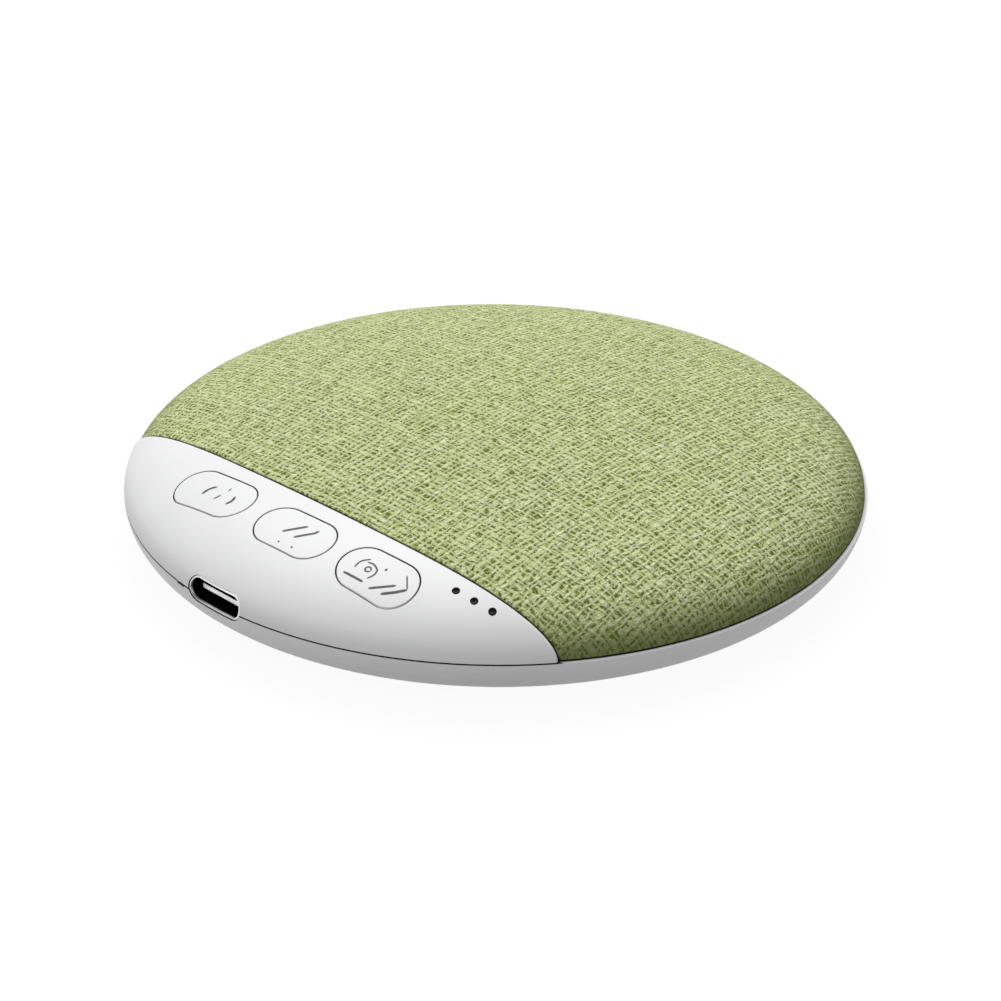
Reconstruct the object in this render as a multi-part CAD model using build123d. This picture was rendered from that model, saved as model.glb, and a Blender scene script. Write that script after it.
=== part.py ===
from build123d import *
import os
from math import atan2, cos, degrees, hypot, radians, sin, tan

# Round bedside sound machine: a shallow base, a domed top with a white control panel in front
# and a cloth-covered grille behind it, a small speaker, a battery and one circuit board.
# Millimetres. The feet stand on Z = 0, the control panel and the charging port face -Y.

# Case
case_diameter = 96.0
base_depth = 5.5            # underside of the base to the parting line
base_edge_run = 6.3         # how far in the rounded lower edge starts
base_wall = 1.6
shoulder_run = 21.0         # the rounded shoulder of the top, measured inwards
shoulder_rise = 7.9         # and upwards from the parting line
crown_slope = 9.5           # degrees, where the shoulder runs into the crown
panel_wall = 1.8
groove_height = 0.2         # shadow line along the parting line
groove_depth = 0.6
tongue_wall = 1.2           # ring of the top that plugs into the base
tongue_drop = 0.9
tongue_lift = 2.0
shell_fit = 0.25            # between the tongue and the base wall

# Edge between the control panel and the cloth: a long arc that bows towards the port
divide_setback = 15.65      # in from the front of the case
divide_spread = 3.05        # radius of that arc, in case diameters
divide_gap = 0.15
divide_web = 1.3            # wall under that edge
divide_edge = 0.3           # radius along it

# Grille
cloth_thickness = 0.6
cloth_step = 0.4            # cloth stands in from the rim of the base
carrier_thickness = 1.4
glue_line = 0.15
shelf_wall = 1.6
grille_hole_diameter = 3.0
grille_pitch = 4.6
grille_rings = 3

# Case screws, bosses and feet
boss_inset = 11.5           # in from the rim of the case
boss_angles = (-27.0, 45.0, 135.0, 207.0)
post_diameter = 6.5
boss_diameter = 5.2
boss_drop = 1.0             # bosses meet the posts below the parting line
case_screw_diameter = 2.0
case_screw_length = 5.8
case_screw_head_diameter = 3.8
case_screw_head_height = 1.4
screw_head_round = 0.4      # of the head's height
screw_fit = 0.1
head_fit = 0.2
foot_diameter = 10.0
foot_thickness = 1.0
foot_recess = 0.5
foot_edge = 0.25
foot_fit = 0.1

# Keys: rounded lozenges, flush with the panel and set out along its rim
key_names = ("power", "play", "timer")
key_angles = (-106.5, -84.9, -66.2)
key_insets = (8.7, 9.95, 7.2)
key_turns = (0.0, 1.8, 4.2)
key_length_shares = (0.1302, 0.119, 0.1115)    # of the case's diameter
key_width = 6.4
key_gap = 0.16
key_edge = 0.08             # radius round each cap and its opening
key_travel = 0.3
key_flange = 0.6            # overlap behind the panel
key_flange_thickness = 0.8
key_flange_gap = 0.12
key_stem_diameter = 3.2
switch_size = 4.5
switch_height = 2.5
plunger_diameter = 2.6
plunger_proud = 0.9
plunger_sunk = 1.0
plunger_fit = 0.15

# Indicator lamps and their light guide
lamp_angles = (-53.4, -50.5, -47.8)
lamp_insets = (6.3, 5.1, 3.9)
lamp_hole_diameter = 0.95
lamp_prong_diameter = 0.8
lamp_recess = 0.1
lamp_setback = 1.2          # lamps in from the board's edge
lamp_size = (1.6, 0.8, 0.7)
guide_thickness = 0.8
guide_rise = 1.2            # underside of the guide above the board
guide_margin = 1.0
guide_rim = 0.55
guide_fit = 0.15
guide_leg_diameter = 1.2
guide_inlet_gap = 0.2

# Circuit board
board_standoff = 1.98
board_thickness = 1.0
board_inset = 4.8           # in from the rim of the case
board_depth = 20.7          # from its front to its straight edge
board_post_diameter = 4.4
board_screw_angles = (-138.0, -38.4, -97.1)
board_screw_insets = (3.5, 3.0, 10.9)
board_screw_diameter = 1.6
board_screw_length = 2.9
board_screw_head_diameter = 3.0
board_screw_head_height = 0.9

# Charging port, a USB-C receptacle on the board's edge
port_width = 8.9
port_height = 3.0
port_length = 7.0
port_wall = 0.2
port_setback = 0.12         # raked mouth behind the surface of the case
port_fit = 0.1
port_cavity_depth = 5.9
tongue_blade = (6.4, 4.6, 0.6)
pry_slot_angle = -97.4      # degrees from +X, beside the port
pry_slot = (1.6, 1.2, 0.25)    # width, depth, height

# Chips and connectors on the board: centre X, distance in front of the board's straight edge,
# then length, width, height
processor = (-14.0, 7.0, 7.0, 7.0, 0.9)
memory = (-22.0, 9.0, 5.0, 4.0, 1.5)
amplifier = (9.0, 6.5, 5.0, 4.0, 1.4)
inductor = (16.3, 7.5, 4.0, 4.0, 2.0)
battery_socket = (-25.5, 2.7, 4.2, 3.4, 3.2)
speaker_socket = (22.0, 3.0, 4.2, 3.4, 3.2)
capacitor_size = (1.6, 0.8, 0.8)
capacitor_count = 6
capacitor_pitch = 2.4
capacitor_row = 2.1         # in front of the board's straight edge
chip_chamfer = 0.15         # of a package's height

# Battery pouch, lying across the case between the board and the speaker
battery_size = (40.0, 12.0, 5.0)
battery_gap = 1.75          # behind the board
battery_round = 1.6
battery_pad_thickness = 0.5
battery_tab_share = 0.75    # height of the lead tabs on the pouch
tray_wall = 1.0
tray_height = 2.5
tray_gap = 0.2
tray_rail_share = 0.7       # of the pouch's length
tray_stop_share = 0.4       # of its width

# Speaker, facing up
speaker_y = 13.0
speaker_diameter = 40.0
speaker_depth = 6.2
flange_thickness = 0.8
frame_wall = 0.6
frame_knee = 1.2            # flat of the flange inside the surround's ledge
frame_foot = 1.4            # flat of the basket outside the yoke
frame_slope_gap = 0.4
frame_window_count = 6
frame_window_width = 6.5
frame_window_margin = 1.0
magnet_pad_thickness = 0.5
magnet_pad_diameter = 16.0
yoke_diameter = 20.8
yoke_height = 3.0
yoke_wall = 1.4
yoke_floor = 0.9
magnet_diameter = 14.4
plate_diameter = 15.2
plate_thickness = 0.8
coil_bore = 16.0
coil_wall = 0.5
coil_height = 2.4
coil_clear = 1.1            # coil above the yoke's floor
cone_wall = 0.4
cone_rise = 1.7
cap_rise = 1.2
surround_wall = 0.3
surround_rise = 0.8
surround_ledge = 1.4        # glued width on the flange
surround_width = 2.6        # of the half roll
gasket_thickness = 0.4
gasket_width = 1.2
seat_margin = 1.4           # ring under the top, wider than the speaker that is screwed to it
mesh_inset = 0.2            # dust screen within the speaker's edge
mesh_thickness = 0.25
mesh_lift = 0.9             # ledge for the mesh above the speaker's seat
mesh_fit = 0.2
speaker_screw_offset = 1.6  # outside the flange
speaker_screw_diameter = 1.5
speaker_screw_length = 2.2
speaker_screw_head_diameter = 5.0
speaker_screw_head_height = 0.7
speaker_boss_diameter = 3.0
terminal_size = (6.0, 2.4, 0.8)
terminal_angle = -70.0

# Leads
lead_diameter = 0.8
lead_pitch = 1.3
bend_share = 0.45           # of the shorter run beside a bend
tag_overlap = 0.4           # leads over the solder tags
first_bend = (2.4, 6.1)     # speaker leads: off the tags, sideways and forwards
first_bend_lift = 0.2
last_bend = (3.0, 6.0)      # and short of their socket

# Worked out from the sizes above
case_radius = case_diameter / 2
divide_y = divide_setback - case_radius
divide_radius = divide_spread * case_diameter
board_radius = case_radius - board_inset
board_chord_y = board_depth - board_radius
lamp_circle = board_radius - lamp_setback
battery_y = board_chord_y + battery_gap + battery_size[1] / 2
cone_diameter = speaker_diameter - 2 * (surround_ledge + surround_width)
seat_diameter = speaker_diameter + 2 * seat_margin
opening_diameter = speaker_diameter - 2 * gasket_width
mesh_diameter = speaker_diameter - 2 * mesh_inset
speaker_screw_circle = speaker_diameter + 2 * speaker_screw_offset
foot_proud = foot_thickness - foot_recess
seam_z = foot_proud + base_depth
floor_z = foot_proud + base_wall
board_z = floor_z + board_standoff
board_top = board_z + board_thickness
flange_top = floor_z + magnet_pad_thickness + speaker_depth
seat_z = flange_top + surround_wall + gasket_thickness
yoke_z = flange_top - speaker_depth
frame_z = yoke_z + yoke_height
cloth_outer = (cloth_step, 0.0)
cloth_inner = (cloth_step + cloth_thickness, cloth_thickness)
carrier_outer = tuple(inset + glue_line for inset in cloth_inner)
carrier_inner = tuple(inset + carrier_thickness for inset in carrier_outer)
shelf_outer = tuple(inset + glue_line for inset in carrier_inner)
shelf_inner = tuple(inset + shelf_wall for inset in shelf_outer)
guide_z = board_top + guide_rise
guide_top = guide_z + guide_thickness
port_z = board_top + port_height / 2
port_mouth_y = -(case_radius - port_setback)
above_everything = seam_z + 2 * shoulder_rise
standing = (Align.CENTER, Align.CENTER, Align.MIN)


def rim_spot(angle, inset, rim=case_radius):
    """Place in from a rim, at an angle from +X."""
    return (rim - inset) * cos(radians(angle)), (rim - inset) * sin(radians(angle))


boss_spots = [rim_spot(angle, boss_inset) for angle in boss_angles]
lamp_spots = [rim_spot(*place) for place in zip(lamp_angles, lamp_insets)]
board_screw_places = zip(board_screw_angles, board_screw_insets)
board_screw_spots = [rim_spot(*place, rim=board_radius) for place in board_screw_places]
key_spots = {
    name: rim_spot(*place) for name, *place in zip(key_names, key_angles, key_insets)
}
key_lengths = {
    name: share * case_diameter for name, share in zip(key_names, key_length_shares)
}
key_tilts = dict(zip(key_names, key_turns))


def dome(radial_inset, drop, bottom=seam_z):
    """Solid under the top's curve, set in from the outside by an inset at the rim and a drop."""
    run = shoulder_run - radial_inset
    rise = shoulder_rise - drop
    shoulder_end = degrees(atan2(1, run / rise * tan(radians(crown_slope))))
    centre = (case_radius - shoulder_run, seam_z)
    shoulder = EllipticalCenterArc(centre, run, rise, 0, arc_size=shoulder_end)
    joint = shoulder @ 1
    crown_top = joint.Y + joint.X * tan(radians(crown_slope / 2))
    crown = TangentArc(joint, (0, crown_top), tangent=shoulder % 1)
    corners = [(0, crown_top), (0, bottom), (centre[0] + run, bottom)]
    if bottom < seam_z:
        corners.append((centre[0] + run, seam_z))
    section = make_face(Curve() + [shoulder, crown, Polyline(*corners)])
    return revolve(Plane.XZ * section, Axis.Z)


def bowl(inset, top=seam_z):
    """Solid inside the base's curve, set in from the outside by a wall."""
    centre = (case_radius - base_edge_run, seam_z)
    run = base_edge_run - inset
    depth = base_depth - inset
    edge = EllipticalCenterArc(centre, run, depth, -90, arc_size=90)
    bottom = edge @ 0
    rim = edge @ 1
    corners = [(rim.X, rim.Y), (rim.X, top), (0, top), (0, bottom.Y), (bottom.X, bottom.Y)]
    if top <= seam_z:
        corners.remove((rim.X, top))
    section = make_face(Curve() + [edge, Polyline(*corners)])
    return revolve(Plane.XZ * section, Axis.Z)


def post(spot, diameter, bottom, top):
    """Upright round bar between two heights."""
    return Pos(spot[0], spot[1], bottom) * Cylinder(diameter / 2, top - bottom, align=standing)


def ring(inner_radius, outer_radius, bottom, top, spot=(0, 0)):
    """Upright tube between two heights."""
    bore = post(spot, 2 * inner_radius, bottom - 1, top + 1)
    return post(spot, 2 * outer_radius, bottom, top) - bore


def block(spot, size, bottom):
    """Box standing on a height, centred on a spot."""
    return Pos(spot[0], spot[1], bottom) * Box(*size, align=standing)


def turned(points, spot=(0, 0)):
    """Solid of revolution about an upright axis through a spot, from its half section."""
    section = Plane.XZ * make_face(Polyline(*points, close=True))
    return Pos(spot[0], spot[1]) * revolve(section, Axis.Z)


def cloth_side(set_back):
    """Everything behind the edge between panel and cloth, moved back by a distance."""
    centre_y = divide_y + divide_radius
    return post((0, centre_y), 2 * (divide_radius - set_back), 0, above_everything)


def key_prism(name, grow):
    """Upright lozenge through the panel at a key, grown all round."""
    x, y = key_spots[name]
    outline = SlotOverall(key_lengths[name] + 2 * grow, key_width + 2 * grow)
    return Pos(x, y, seam_z) * Rot(0, 0, key_tilts[name]) * extrude(outline, above_everything)


def port_prism(grow, front_y, back_y):
    """The port's rounded section run along Y."""
    outline = SlotOverall(port_width + 2 * grow, port_height + 2 * grow)
    lying = Plane(origin=(0, back_y, port_z), x_dir=(1, 0, 0), z_dir=(0, -1, 0))
    return extrude(lying * outline, back_y - front_y)


def dome_height(x, y):
    """Height of the shoulder's outside over a spot."""
    share = (hypot(x, y) - case_radius + shoulder_run) / shoulder_run
    return seam_z + shoulder_rise * (1 - share ** 2) ** 0.5


def outer_edges(shape, name):
    """Edges on the outside of the top that run round a key or round its opening."""
    found = []
    for edge in shape.edges():
        middle = edge @ 0.5
        local = (middle - Vector(*key_spots[name])).rotate(Axis.Z, -key_tilts[name])
        beyond = max(abs(local.X) - (key_lengths[name] - key_width) / 2, 0)
        around = abs(hypot(beyond, local.Y) - key_width / 2) < 2 * key_gap
        if around and middle.Z > dome_height(middle.X, middle.Y) - key_edge / 2:
            found.append(edge)
    return found


def base_shell():
    """Shallow bowl with screw posts, board posts, battery tray and a well for the magnet."""
    shell = bowl(0) - bowl(base_wall, seam_z + 1)
    for spot in boss_spots:
        shell += post(spot, post_diameter, floor_z - base_wall / 2, seam_z - boss_drop)
    for spot in board_screw_spots:
        shell += post(spot, board_post_diameter, floor_z - base_wall / 2, board_z)
    well = yoke_diameter / 2 + 2 * shell_fit
    shell += ring(well, well + tray_wall, floor_z - base_wall / 2, yoke_z + 1, (0, speaker_y))
    rail_y = battery_size[1] / 2 + tray_gap + tray_wall / 2
    for side in (-1, 1):
        rail = (battery_size[0] * tray_rail_share, tray_wall, tray_height + base_wall / 2)
        shell += block((0, battery_y + side * rail_y), rail, floor_z - base_wall / 2)
        stop_x = side * (battery_size[0] / 2 + tray_gap + tray_wall / 2)
        stop = (tray_wall, battery_size[1] * tray_stop_share, tray_height + base_wall / 2)
        shell += block((stop_x, battery_y), stop, floor_z - base_wall / 2)
    for spot in boss_spots:
        shell -= post(spot, foot_diameter + 2 * foot_fit, 0, foot_thickness)
        head_top = foot_thickness + screw_fit + case_screw_head_height
        shell -= post(spot, case_screw_head_diameter + 2 * head_fit, 0, head_top)
        shell -= post(spot, case_screw_diameter + 2 * screw_fit, 0, seam_z)
    for spot in board_screw_spots:
        shell -= post(spot, board_screw_diameter + 2 * screw_fit, floor_z, board_z)
    shell -= port_prism(port_fit, -case_radius - 1, -board_radius)
    width, depth, height = pry_slot
    slot = block((case_radius, 0), (2 * depth, width, height), seam_z - height)
    return shell - Rot(0, 0, pry_slot_angle) * slot


def upper_housing():
    """White front panel in one piece with the recessed shelf that carries grille and speaker."""
    tongue_outer = case_radius - base_wall - shell_fit
    tongue_inner = tongue_outer - tongue_wall
    shelf_rim = case_radius - shelf_inner[0]
    under_shelf = dome(*shelf_outer, bottom=seam_z - tongue_drop)
    panel = dome(0, 0) - dome(panel_wall, panel_wall)
    panel += ring(tongue_inner, tongue_outer, seam_z - tongue_drop, seam_z + tongue_lift)
    panel -= cloth_side(0)
    web = dome(0, 0) - dome(*shelf_inner)
    panel += web & cloth_side(-divide_web) - cloth_side(0)
    across = panel.edges().filter_by(lambda edge: abs((edge @ 0.5).Y - divide_y) < divide_edge)
    panel = fillet(across.sort_by(Axis.Z)[-1], divide_edge)
    shelf = dome(*shelf_outer) - dome(*shelf_inner)
    shelf += ring(shelf_rim, tongue_outer, seam_z - tongue_drop, seam_z)
    shelf = shelf & cloth_side(-divide_web / 2)
    housing = panel + shelf
    for spot in boss_spots:
        housing += post(spot, boss_diameter, seam_z - boss_drop, above_everything) & under_shelf
    seat = post((0, speaker_y), seat_diameter, seat_z, above_everything)
    housing += seat & under_shelf
    for spot in speaker_screw_spots():
        boss = post(spot, speaker_boss_diameter, flange_top - flange_thickness, above_everything)
        housing += boss & under_shelf
    housing -= post((0, speaker_y), opening_diameter, seat_z - 1, above_everything)
    ledge_z = seat_z + mesh_lift
    housing -= post((0, speaker_y), mesh_diameter + 2 * mesh_fit, ledge_z, above_everything)
    for spot in boss_spots:
        pilot_top = foot_thickness + screw_fit + case_screw_head_height + case_screw_length
        pilot = case_screw_diameter + 2 * screw_fit
        housing -= post(spot, pilot, seam_z - tongue_drop, pilot_top + screw_fit)
    for spot in speaker_screw_spots():
        pilot = speaker_screw_diameter + 2 * screw_fit
        pilot_top = flange_top - flange_thickness + speaker_screw_length
        housing -= post(spot, pilot, seam_z, pilot_top + screw_fit)
    for name in key_spots:
        housing -= key_prism(name, 0)
    rims = [edge for name in key_spots for edge in outer_edges(housing, name)]
    housing = fillet(rims, key_edge)
    housing -= guide_band(guide_fit, seam_z - tongue_drop, guide_top + guide_fit)
    for spot in lamp_spots:
        housing -= post(spot, lamp_hole_diameter, guide_top, above_everything)
    groove = ring(case_radius - groove_depth, case_radius + 1, seam_z, seam_z + groove_height)
    housing -= groove
    return housing - port_prism(port_fit, -case_radius - 1, -board_radius + 2)


def grille_spots():
    """Hexagonal field of holes over the speaker."""
    spots = []
    for row in range(-grille_rings, grille_rings + 1):
        count = 2 * grille_rings + 1 - abs(row)
        for column in range(count):
            x = (column - (count - 1) / 2) * grille_pitch
            spots.append((x, speaker_y + row * grille_pitch * sin(radians(60))))
    return spots


def grille_carrier():
    """Perforated dome that the cloth is stretched over."""
    set_back = divide_gap + cloth_thickness + glue_line
    carrier = (dome(*carrier_outer) - dome(*carrier_inner)) & cloth_side(set_back)
    carrier -= post((0, 0), 2 * case_diameter, 0, seam_z + groove_height)
    holes = [post(spot, grille_hole_diameter, seam_z, above_everything) for spot in grille_spots()]
    return carrier - holes


def fabric_cover():
    """Woven cloth over the carrier, turned down along the edge by the panel."""
    cover = (dome(*cloth_outer) - dome(*carrier_inner)) & cloth_side(divide_gap)
    hollow = dome(*cloth_inner) & cloth_side(divide_gap + cloth_thickness)
    cover -= hollow
    return cover - post((0, 0), 2 * case_diameter, 0, seam_z + groove_height)


def key(name):
    """One key: cap flush with the panel, flange behind it and a stem down to its switch."""
    spot = key_spots[name]
    inset = panel_wall + key_flange_gap
    under = inset + key_flange_thickness
    cap = key_prism(name, -key_gap) & (dome(0, 0) - dome(under, under))
    cap = fillet(outer_edges(cap, name), key_edge)
    reach = case_radius - base_wall - shell_fit - tongue_wall - key_gap
    flange = key_prism(name, key_flange) & (dome(inset, inset) - dome(under, under))
    flange = flange & post((0, 0), 2 * reach, 0, above_everything)
    stem_z = board_top + switch_height + plunger_proud
    stem = post(spot, key_stem_diameter, stem_z, above_everything) & dome(inset, inset)
    return cap + flange + stem


def plunger(name):
    """Switch plunger under a key, pressed down with it."""
    top = board_top + switch_height + plunger_proud
    bottom = board_top + switch_height - plunger_sunk
    return post(key_spots[name], plunger_diameter, bottom, top)


def tact_switches():
    """Three square switch bodies, each with a bore for its plunger."""
    bodies = []
    for spot in key_spots.values():
        body = block(spot, (switch_size, switch_size, switch_height), board_top)
        top = board_top + switch_height
        bore_bottom = top - plunger_sunk - key_travel - plunger_fit
        bodies.append(body - post(spot, plunger_diameter + 2 * plunger_fit, bore_bottom, top))
    return Compound(children=bodies)


def lamp_places():
    """Where each lamp sits on the board, straight in from its hole in the panel."""
    return [(x * lamp_circle / hypot(x, y), y * lamp_circle / hypot(x, y)) for x, y in lamp_spots]


def guide_ends():
    """Angles of the two ends of the light guide's band."""
    angles = [degrees(atan2(y, x)) for x, y in lamp_spots]
    spare = degrees(1.5 * guide_margin / lamp_circle)
    return min(angles) - spare, max(angles) + spare


def guide_band(grow, bottom, top):
    """Curved band that joins the light guide's prongs, grown all round."""
    outer = max(hypot(x, y) for x, y in lamp_spots) + guide_rim + grow
    inner = lamp_circle - guide_margin - grow
    start, end = guide_ends()
    start -= degrees(grow / lamp_circle)
    sweep = end + degrees(grow / lamp_circle) - start
    front = CenterArc((0, 0), outer, start, sweep)
    back = CenterArc((0, 0), inner, start + sweep, -sweep)
    outline = Curve() + [front, Line(front @ 1, back @ 0), back, Line(back @ 1, front @ 0)]
    return Pos(0, 0, bottom) * extrude(make_face(outline), top - bottom)


def light_guide():
    """Clear moulding that leads the light of the lamps up into the panel's holes."""
    guide = guide_band(0, guide_z, guide_top)
    for spot in lamp_spots:
        guide += post(spot, lamp_prong_diameter, guide_z, dome_height(*spot) - lamp_recess)
    for spot in lamp_places():
        guide += post(spot, guide_leg_diameter, board_top + lamp_size[2] + guide_inlet_gap, guide_top)
    for angle in guide_ends():
        leg = (lamp_circle * cos(radians(angle)), lamp_circle * sin(radians(angle)))
        guide += post(leg, guide_leg_diameter, board_top, guide_top)
    return guide


def status_leds():
    """Three small surface-mount lamps, lying radially."""
    lamps = []
    for x, y in lamp_places():
        turn = degrees(atan2(y, x))
        lamps.append(Pos(x, y, board_top) * Rot(0, 0, turn) * Box(*lamp_size, align=standing))
    return Compound(children=lamps)


def main_board():
    """Crescent circuit board under the control panel."""
    board = post((0, 0), 2 * board_radius, board_z, board_top)
    keep = 2 * case_diameter
    board -= block((0, board_chord_y + keep / 2), (keep, keep, board_top), 0)
    for spot in board_screw_spots:
        board -= post(spot, board_screw_diameter + 2 * screw_fit, board_z, board_top)
    return board


def chip(place):
    """Moulded package or connector body standing on the board."""
    x, ahead, length, width, height = place
    body = block((x, board_chord_y - ahead), (length, width, height), board_top)
    return chamfer(body.faces().sort_by(Axis.Z)[-1].edges(), height * chip_chamfer)


def chip_capacitors():
    """Row of small capacitors along the board's straight edge."""
    first = -(capacitor_count - 1) / 2
    row_y = board_chord_y - capacitor_row
    spots = [((first + i) * capacitor_pitch, row_y) for i in range(capacitor_count)]
    return Compound(children=[block(spot, capacitor_size, board_top) for spot in spots])


def lead_socket(place):
    """Two-pin header with its mouth towards the back of the case."""
    x, ahead, length, width, height = place
    y = board_chord_y - ahead
    body = block((x, y), (length, width, height), board_top)
    for side in (-1, 1):
        entry = Pos(x + side * lead_pitch / 2, y + width / 2, board_top + height / 2)
        body -= entry * Rot(90, 0, 0) * Cylinder(lead_diameter / 2, width)
    return body


def usb_shell():
    """Drawn steel shell of the charging port, its open mouth raked like the case."""
    back_y = port_mouth_y + port_length
    shell = port_prism(0, port_mouth_y - 1, back_y)
    shell -= port_prism(-port_wall, port_mouth_y - 1, back_y - port_wall)
    return shell & (dome(port_setback, port_setback) + bowl(port_setback))


def usb_tongue():
    """Contact blade of the port with the moulded block behind it."""
    back_y = port_mouth_y + port_length - port_wall
    floor_y = port_mouth_y + port_cavity_depth
    body = port_prism(-port_wall, floor_y, back_y)
    width, length, thickness = tongue_blade
    blade = Pos(0, floor_y - length / 2, port_z) * Box(width, length, thickness)
    return body + blade


def screw(spot, head_bottom, diameter, length, head_diameter, head_height, upwards):
    """Pan-head screw; its head lies below the thread when it is driven upwards."""
    head = post(spot, head_diameter, head_bottom, head_bottom + head_height)
    rim = head.edges().sort_by(Axis.Z)
    head = fillet(rim[0] if upwards else rim[-1], head_height * screw_head_round)
    if upwards:
        seat = head_bottom + head_height
        return head + post(spot, diameter, seat, seat + length)
    return head + post(spot, diameter, head_bottom - length, head_bottom)


def case_screws():
    """Four screws up through the base, hidden by the feet."""
    size = (case_screw_diameter, case_screw_length, case_screw_head_diameter, case_screw_head_height)
    bottom = foot_thickness + screw_fit
    return Compound(children=[screw(spot, bottom, *size, upwards=True) for spot in boss_spots])


def board_screws():
    """Three screws down through the board into the base's posts."""
    size = (board_screw_diameter, board_screw_length - board_thickness)
    parts = []
    for spot in board_screw_spots:
        head = post(spot, board_screw_head_diameter, board_top, board_top + board_screw_head_height)
        shank = post(spot, size[0], board_z - size[1] + screw_fit, board_top)
        parts.append(head + shank)
    return Compound(children=parts)


def speaker_screw_spots():
    """Four screws round the speaker's flange."""
    radius = speaker_screw_circle / 2
    angles = [radians(45 + 90 * i) for i in range(4)]
    return [(radius * cos(a), speaker_y + radius * sin(a)) for a in angles]


def speaker_screws():
    """Wide-headed screws that clamp the speaker's flange against its seat."""
    size = (speaker_screw_diameter, speaker_screw_length)
    head = (speaker_screw_head_diameter, speaker_screw_head_height)
    bottom = flange_top - flange_thickness - speaker_screw_head_height
    spots = speaker_screw_spots()
    return Compound(children=[screw(spot, bottom, *size, *head, upwards=True) for spot in spots])


def rubber_feet():
    """Four soft discs stuck over the case screws."""
    feet = []
    for spot in boss_spots:
        foot = post(spot, foot_diameter, 0, foot_thickness)
        feet.append(fillet(foot.edges().sort_by(Axis.Z)[0], foot_edge))
    return Compound(children=feet)


def battery_cell():
    """Lithium pouch with rounded long edges."""
    bottom = floor_z + battery_pad_thickness
    cell = block((0, battery_y), battery_size, bottom)
    return fillet(cell.edges().filter_by(Axis.X), battery_round)


def battery_pad():
    """Double-sided foam tape under the pouch."""
    width = battery_size[1] - 2 * battery_round
    size = (battery_size[0] - 2 * battery_round, width, battery_pad_thickness)
    return block((0, battery_y), size, floor_z)


def speaker_frame():
    """Pressed steel basket: flange, sloping wall with windows, and a ring on the yoke."""
    outer = speaker_diameter / 2
    neck = yoke_diameter / 2
    bore = neck - yoke_wall
    knee = outer - surround_ledge - frame_knee
    flange_z = flange_top - flange_thickness
    frame = turned(
        [
            (outer, flange_top),
            (outer, flange_z),
            (knee + frame_slope_gap, flange_z),
            (neck + frame_foot + frame_slope_gap / 2, frame_z),
            (bore, frame_z),
            (bore, frame_z + frame_wall),
            (neck + frame_foot - frame_slope_gap / 2, frame_z + frame_wall),
            (knee - frame_slope_gap, flange_top - frame_wall),
            (knee - frame_slope_gap, flange_top),
        ],
        (0, speaker_y),
    )
    inside = neck + 2 * frame_window_margin
    outside = knee - frame_window_margin
    window = ring(inside, outside, frame_z + frame_wall, flange_z, (0, speaker_y))
    for i in range(frame_window_count):
        turn = Rot(0, 0, 360 / frame_window_count * i)
        sector = block((outer, 0), (2 * outer, frame_window_width, seat_z), 0)
        frame -= window & Pos(0, speaker_y) * turn * sector
    return frame


def speaker_yoke():
    """Steel cup of the magnet system."""
    outer = yoke_diameter / 2
    cup = post((0, speaker_y), yoke_diameter, yoke_z, frame_z)
    cup -= post((0, speaker_y), 2 * (outer - yoke_wall), yoke_z + yoke_floor, frame_z)
    return chamfer(cup.edges().sort_by(Axis.Z)[0], yoke_floor / 2)


def speaker_magnet():
    """Neodymium disc on the yoke's floor."""
    return post((0, speaker_y), magnet_diameter, yoke_z + yoke_floor, frame_z - plate_thickness)


def speaker_top_plate():
    """Steel pole plate on the magnet."""
    return post((0, speaker_y), plate_diameter, frame_z - plate_thickness, frame_z)


def coil_bottom():
    """Height of the voice coil's lower end at rest."""
    return yoke_z + yoke_floor + coil_clear


def voice_coil():
    """Copper winding on its former, in the gap between plate and yoke."""
    bore = coil_bore / 2
    return ring(bore, bore + coil_wall, coil_bottom(), coil_bottom() + coil_height, (0, speaker_y))


def speaker_cone():
    """Paper cone from the voice coil out to the surround."""
    neck = coil_bore / 2 + coil_wall
    rim = cone_diameter / 2
    low = coil_bottom() + coil_height
    return turned(
        [
            (neck - coil_wall, low),
            (neck + cone_wall, low),
            (rim, low + cone_rise),
            (rim, low + cone_rise + cone_wall),
            (neck, low + cone_wall),
            (neck - coil_wall, low + cone_wall),
        ],
        (0, speaker_y),
    )


def lens(radius, rise, bottom):
    """Flat-bottomed spherical cap over the speaker's axis."""
    ball_radius = (radius ** 2 + rise ** 2) / (2 * rise)
    ball = Pos(0, speaker_y, bottom + rise - ball_radius) * Sphere(ball_radius)
    return ball & post((0, speaker_y), 2 * radius, bottom, bottom + rise)


def dust_cap():
    """Thin domed cap over the voice coil."""
    bottom = coil_bottom() + coil_height + cone_wall
    radius = coil_bore / 2 + coil_wall
    return lens(radius, cap_rise, bottom) - lens(radius - cone_wall, cap_rise - cone_wall, bottom)


def speaker_surround():
    """Rubber half roll between cone and flange."""
    inner = cone_diameter / 2
    outer = speaker_diameter / 2 - surround_ledge
    middle = (inner + outer) / 2
    top = flange_top + surround_rise + surround_wall
    ledge_top = flange_top + surround_wall
    roll = ThreePointArc((outer, ledge_top), (middle, top), (inner, ledge_top))
    start = (inner + surround_wall, flange_top)
    end = (outer - surround_wall, flange_top)
    under = ThreePointArc(start, (middle, top - surround_wall), end)
    ledge = speaker_diameter / 2
    lines = [
        roll,
        Polyline(roll @ 1, (inner, flange_top), under @ 0),
        under,
        Polyline(under @ 1, (ledge, flange_top), (ledge, ledge_top), roll @ 0),
    ]
    return Pos(0, speaker_y) * revolve(Plane.XZ * make_face(Curve() + lines), Axis.Z)


def speaker_gasket():
    """Foam ring between the surround's edge and the seat."""
    outer = speaker_diameter / 2
    bottom = flange_top + surround_wall
    return ring(outer - gasket_width, outer, bottom, seat_z, (0, speaker_y))


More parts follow.
